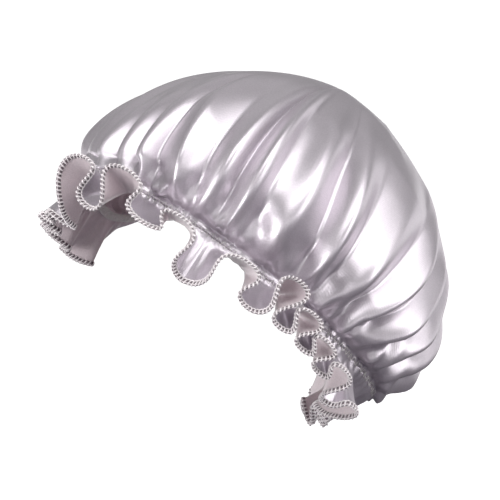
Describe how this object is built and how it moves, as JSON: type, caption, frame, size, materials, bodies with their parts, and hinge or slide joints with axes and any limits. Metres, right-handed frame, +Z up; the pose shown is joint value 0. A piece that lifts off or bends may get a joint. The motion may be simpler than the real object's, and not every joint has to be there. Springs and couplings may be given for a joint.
{
  "type": "satin hair bonnet",
  "caption": "Puffed satin hair bonnet gathered on a sewn-in elastic, with a fluted frill and an overlocked edge, shown as it is worn.",
  "frame": {"origin": "middle of the elastic opening, where the head goes in", "axes": "+Z up and -Y towards the brow as the bonnet is worn, +X towards the wearer's left; the opening is tilted with the brow up"},
  "size_m": [0.2319, 0.28, 0.2389],
  "materials": {
    "satin": "glossy silver-lavender polyester satin",
    "edge_thread": "polyester overlock thread",
    "white_thread": "white sewing thread",
    "elastic": "white woven elastic"
  },
  "bodies": {
    "root": {"crown_panel": "satin", "ruffle_frill": "satin", "overlock_wrap": "edge_thread", "overlock_needle": "white_thread", "elastic_band": "elastic", "elastic_tack": "white_thread", "gather_stitch": "white_thread", "bobbin_stitch": "white_thread"}
  },
  "joints": []
}
